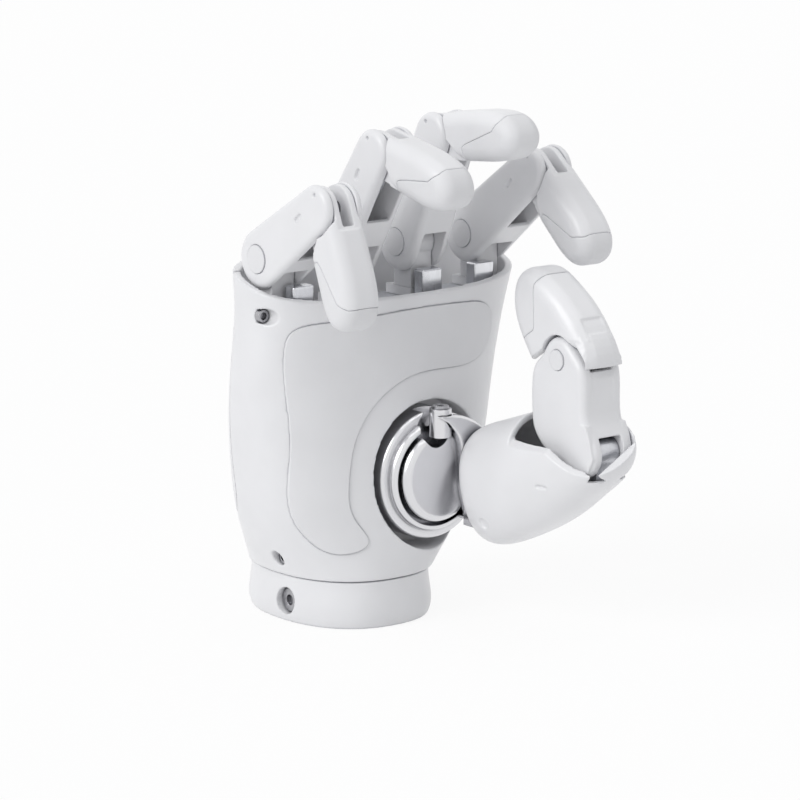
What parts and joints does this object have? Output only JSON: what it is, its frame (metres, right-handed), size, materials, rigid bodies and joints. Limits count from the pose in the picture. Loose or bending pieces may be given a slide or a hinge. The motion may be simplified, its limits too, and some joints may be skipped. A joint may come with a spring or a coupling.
{
  "type": "robot hand end effector",
  "caption": "Right robot hand with jointed fingers and thumb, curled to grasp; white casings, metal thumb turntable, bolted wrist.",
  "frame": {"origin": "centre of the wrist mounting face", "axes": "+Z from the wrist to the fingers, -Y the palm normal, +X the thumb side"},
  "size_m": [0.1037, 0.127, 0.1611],
  "materials": {
    "white_shell": "satin moulded white",
    "palm_panel": "fine matt white, slightly grey",
    "white_link": "satin moulded white",
    "white_cap": "matt white",
    "soft_pad": "soft white elastomer",
    "alloy": "bead-blasted",
    "bright_alloy": "turned, satin",
    "screw_steel": "plain",
    "pin_steel": "ground",
    "motor_steel": "dark",
    "board": "circuit board",
    "dark_plastic": "moulded black"
  },
  "bodies": {
    "palm": {"palm_shell": "white_shell", "back_cover": "white_shell", "palm_panel": "palm_panel", "casing_screws": "screw_steel", "wrist_collar": "white_shell", "wrist_flange": "alloy", "wrist_screws": "screw_steel", "wrist_connector": "dark_plastic", "palm_frame": "alloy", "finger_motors": "motor_steel", "thumb_motor": "motor_steel", "control_board": "board", "finger_lugs": "white_link", "knuckle_blocks": "alloy", "knuckle_pins": "pin_steel"},
    "little_link": {"little_proximal": "white_link", "little_caps": "white_cap", "little_joint_pin": "pin_steel"},
    "little_tip": {"little_distal": "white_link", "little_tip_pad": "soft_pad", "little_rod_pin": "pin_steel"},
    "little_pull": {"little_rod": "alloy"},
    "ring_link": {"ring_proximal": "white_link", "ring_caps": "white_cap", "ring_joint_pin": "pin_steel"},
    "ring_tip": {"ring_distal": "white_link", "ring_tip_pad": "soft_pad", "ring_rod_pin": "pin_steel"},
    "ring_pull": {"ring_rod": "alloy"},
    "middle_link": {"middle_proximal": "white_link", "middle_caps": "white_cap", "middle_joint_pin": "pin_steel"},
    "middle_tip": {"middle_distal": "white_link", "middle_tip_pad": "soft_pad", "middle_rod_pin": "pin_steel"},
    "middle_pull": {"middle_rod": "alloy"},
    "index_link": {"index_proximal": "white_link", "index_caps": "white_cap", "index_joint_pin": "pin_steel"},
    "index_tip": {"index_distal": "white_link", "index_tip_pad": "soft_pad", "index_rod_pin": "pin_steel"},
    "index_pull": {"index_rod": "alloy"},
    "thumb_base": {"thumb_turntable": "bright_alloy", "thumb_bracket": "bright_alloy", "thumb_boss_screw": "screw_steel", "thumb_metacarpal": "white_shell", "thumb_lug": "white_link", "thumb_knuckle_pin": "pin_steel"},
    "thumb_link": {"thumb_proximal": "white_link", "thumb_caps": "white_cap", "thumb_joint_pin": "pin_steel"},
    "thumb_tip": {"thumb_distal": "white_link", "thumb_tip_pad": "soft_pad", "thumb_rod_pin": "pin_steel"},
    "thumb_pull": {"thumb_rod": "alloy"}
  },
  "joints": [
    {"name": "little_knuckle", "type": "hinge", "parent": "palm", "child": "little_link", "pos_m": [-0.0276, -0.0018, 0.1155], "axis": [1, 0, 0], "range_deg": [-57, 3]},
    {"name": "little_bend", "type": "hinge", "parent": "little_link", "child": "little_tip", "pos_m": [-0.0276, -0.03032, 0.13402], "axis": [1, 0, 0], "range_deg": [-91.7, 5.3]},
    {"name": "little_pull_pivot", "type": "hinge", "parent": "little_tip", "child": "little_pull", "pos_m": [-0.0276, -0.02614, 0.13235], "axis": [1, 0, 0], "range_deg": [-5.3, 91.7]},
    {"name": "ring_knuckle", "type": "hinge", "parent": "palm", "child": "ring_link", "pos_m": [-0.0006, -0.0018, 0.1155], "axis": [1, 0, 0], "range_deg": [-33.5, 23]},
    {"name": "ring_bend", "type": "hinge", "parent": "ring_link", "child": "ring_tip", "pos_m": [-0.0006, -0.02327, 0.14794], "axis": [1, 0, 0], "range_deg": [-54.1, 37.3]},
    {"name": "ring_pull_pivot", "type": "hinge", "parent": "ring_tip", "child": "ring_pull", "pos_m": [-0.0006, -0.0223, 0.14355], "axis": [1, 0, 0], "range_deg": [-37.3, 54.1]},
    {"name": "middle_knuckle", "type": "hinge", "parent": "palm", "child": "middle_link", "pos_m": [0.0264, -0.0018, 0.1155], "axis": [1, 0, 0], "range_deg": [-25.5, 12]},
    {"name": "middle_bend", "type": "hinge", "parent": "middle_link", "child": "middle_tip", "pos_m": [0.0264, -0.01855, 0.15061], "axis": [1, 0, 0], "range_deg": [-41.3, 19.7]},
    {"name": "middle_pull_pivot", "type": "hinge", "parent": "middle_tip", "child": "middle_pull", "pos_m": [0.0264, -0.01906, 0.14614], "axis": [1, 0, 0], "range_deg": [-19.7, 41.3]},
    {"name": "index_knuckle", "type": "hinge", "parent": "palm", "child": "index_link", "pos_m": [0.0534, -0.0018, 0.1155], "axis": [1, 0, 0], "range_deg": [-48, 8]},
    {"name": "index_bend", "type": "hinge", "parent": "index_link", "child": "index_tip", "pos_m": [0.0534, -0.03287, 0.13891], "axis": [1, 0, 0], "range_deg": [-77.3, 13.3]},
    {"name": "index_pull_pivot", "type": "hinge", "parent": "index_tip", "child": "index_pull", "pos_m": [0.0534, -0.02992, 0.13551], "axis": [1, 0, 0], "range_deg": [-13.3, 77.3]},
    {"name": "thumb_rotation", "type": "hinge", "parent": "palm", "child": "thumb_base", "pos_m": [0.0152, -0.02, 0.0452], "axis": [0, 1, 0], "range_deg": [0, 80]},
    {"name": "thumb_knuckle", "type": "hinge", "parent": "thumb_base", "child": "thumb_link", "pos_m": [0.033, -0.0845, 0.06], "axis": [-1, 0, 0], "range_deg": [-9, 3]},
    {"name": "thumb_bend", "type": "hinge", "parent": "thumb_link", "child": "thumb_tip", "pos_m": [0.033, -0.0744, 0.088], "axis": [-1, 0, 0], "range_deg": [-9.5, 3.5]},
    {"name": "thumb_pull_pivot", "type": "hinge", "parent": "thumb_tip", "child": "thumb_pull", "pos_m": [0.033, -0.07063, 0.08555], "axis": [-1, 0, 0], "range_deg": [-3.5, 9.5]}
  ],
  "couplings": [
    {"joint": "little_bend", "follows": "little_knuckle", "ratio": 1.6},
    {"joint": "little_pull_pivot", "follows": "little_knuckle", "ratio": -1.6},
    {"joint": "ring_bend", "follows": "ring_knuckle", "ratio": 1.6},
    {"joint": "ring_pull_pivot", "follows": "ring_knuckle", "ratio": -1.6},
    {"joint": "middle_bend", "follows": "middle_knuckle", "ratio": 1.6},
    {"joint": "middle_pull_pivot", "follows": "middle_knuckle", "ratio": -1.6},
    {"joint": "index_bend", "follows": "index_knuckle", "ratio": 1.6},
    {"joint": "index_pull_pivot", "follows": "index_knuckle", "ratio": -1.6},
    {"joint": "thumb_bend", "follows": "thumb_knuckle", "ratio": 1},
    {"joint": "thumb_pull_pivot", "follows": "thumb_knuckle", "ratio": -1}
  ]
}
